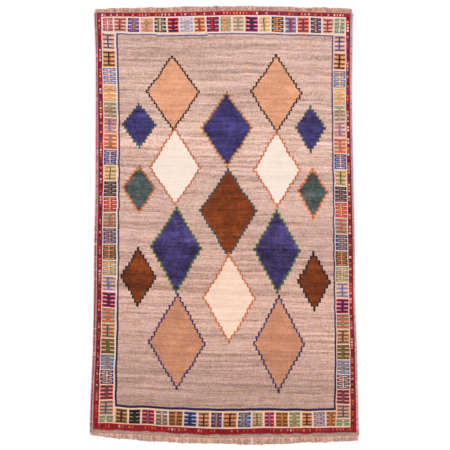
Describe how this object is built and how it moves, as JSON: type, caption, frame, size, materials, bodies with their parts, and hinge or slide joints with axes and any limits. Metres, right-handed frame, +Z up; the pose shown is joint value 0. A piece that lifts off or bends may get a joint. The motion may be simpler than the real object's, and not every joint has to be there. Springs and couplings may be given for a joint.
{
  "type": "gabbeh rug",
  "caption": "Hand-knotted wool gabbeh rug lying flat, with a diamond field, a comb-motif border, wrapped sides, a woven foot and cut fringes.",
  "frame": {"origin": "on the floor, under the middle of the rug", "axes": "+Y along the rug's length towards its narrower head, +X to the right as the rug is seen from above, +Z up out of the pile"},
  "size_m": [1.2933, 2.1061, 0.012],
  "materials": {
    "pile": "dense knotted wool pile, rose-taupe field with many dyed wools, soft sheen",
    "taupe_wrapping": "taupe wool wound round the warp bundle",
    "rose_wrapping": "rose to crimson wool wound round the edge bundle",
    "warp_fringe": "undyed beige wool warp ends, cut and a little fluffy"
  },
  "bodies": {
    "root": {"rug_body": "pile", "selvedge_inner_left": "taupe_wrapping", "selvedge_inner_right": "taupe_wrapping", "selvedge_outer_left": "rose_wrapping", "selvedge_outer_right": "rose_wrapping", "fringe_head": "warp_fringe", "fringe_foot": "warp_fringe"}
  },
  "joints": []
}
